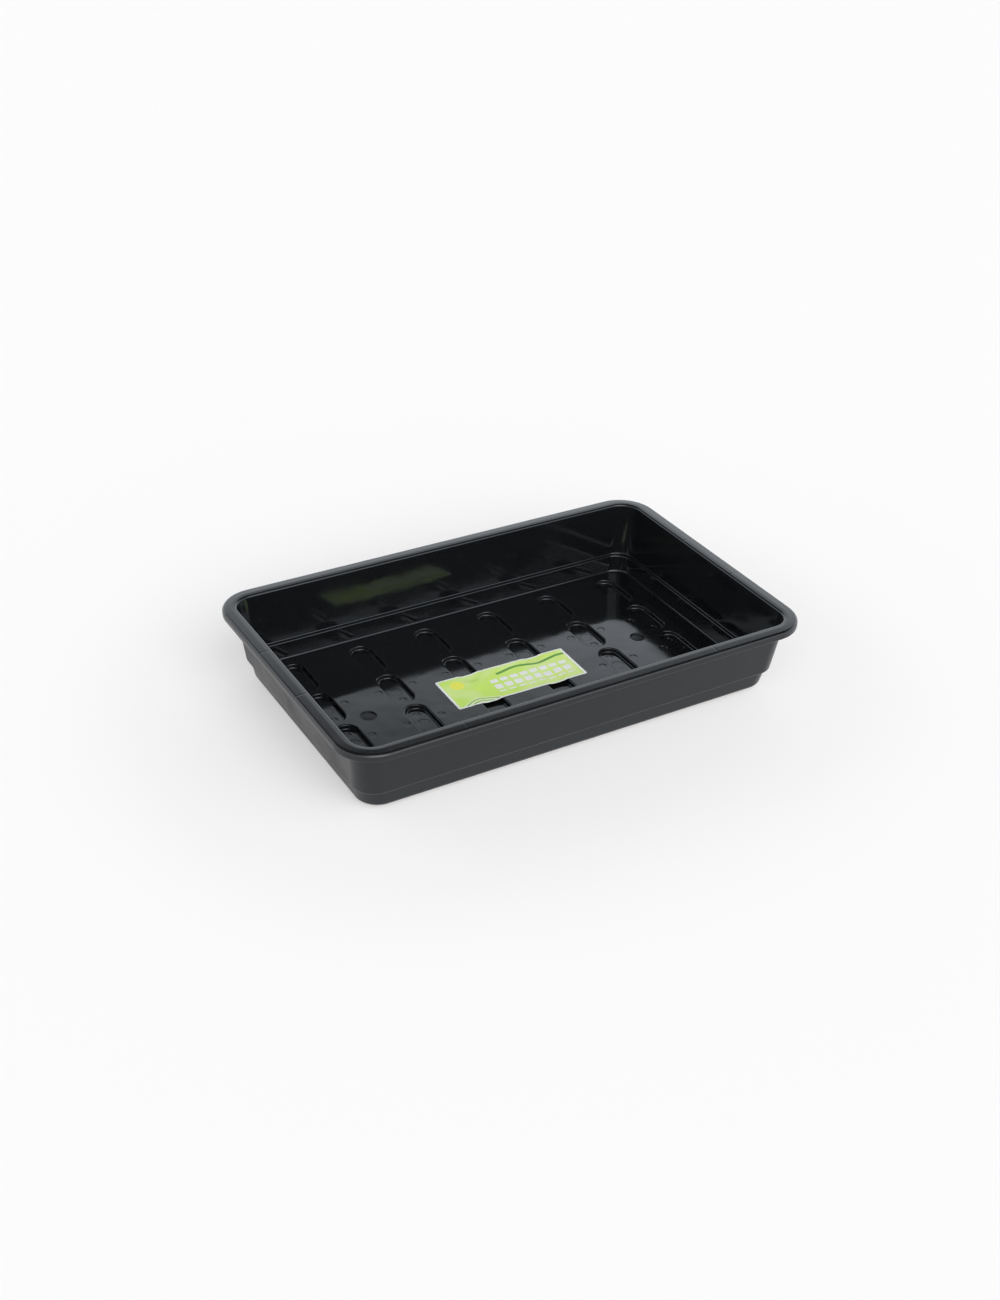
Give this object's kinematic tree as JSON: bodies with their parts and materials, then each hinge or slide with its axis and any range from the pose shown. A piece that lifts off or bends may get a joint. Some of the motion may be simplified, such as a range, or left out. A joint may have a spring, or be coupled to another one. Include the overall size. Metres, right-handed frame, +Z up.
{
  "type": "garden tray",
  "caption": "Rigid rectangular garden tray with a flat rim, stepped sloping walls and a floor standing on moulded foot pads, with a label stuck inside.",
  "frame": {"origin": "on the bench under the middle of the tray, at the centre of the bottom of its bounding box", "axes": "+X along the tray's length, +Y across it, +Z up out of its mouth"},
  "size_m": [0.38, 0.24, 0.062],
  "materials": {
    "tray": "black polypropylene, polished inside and satin outside",
    "label": "satin printed film with a white border"
  },
  "bodies": {
    "root": {"tray": "tray", "label": "label"}
  },
  "joints": []
}
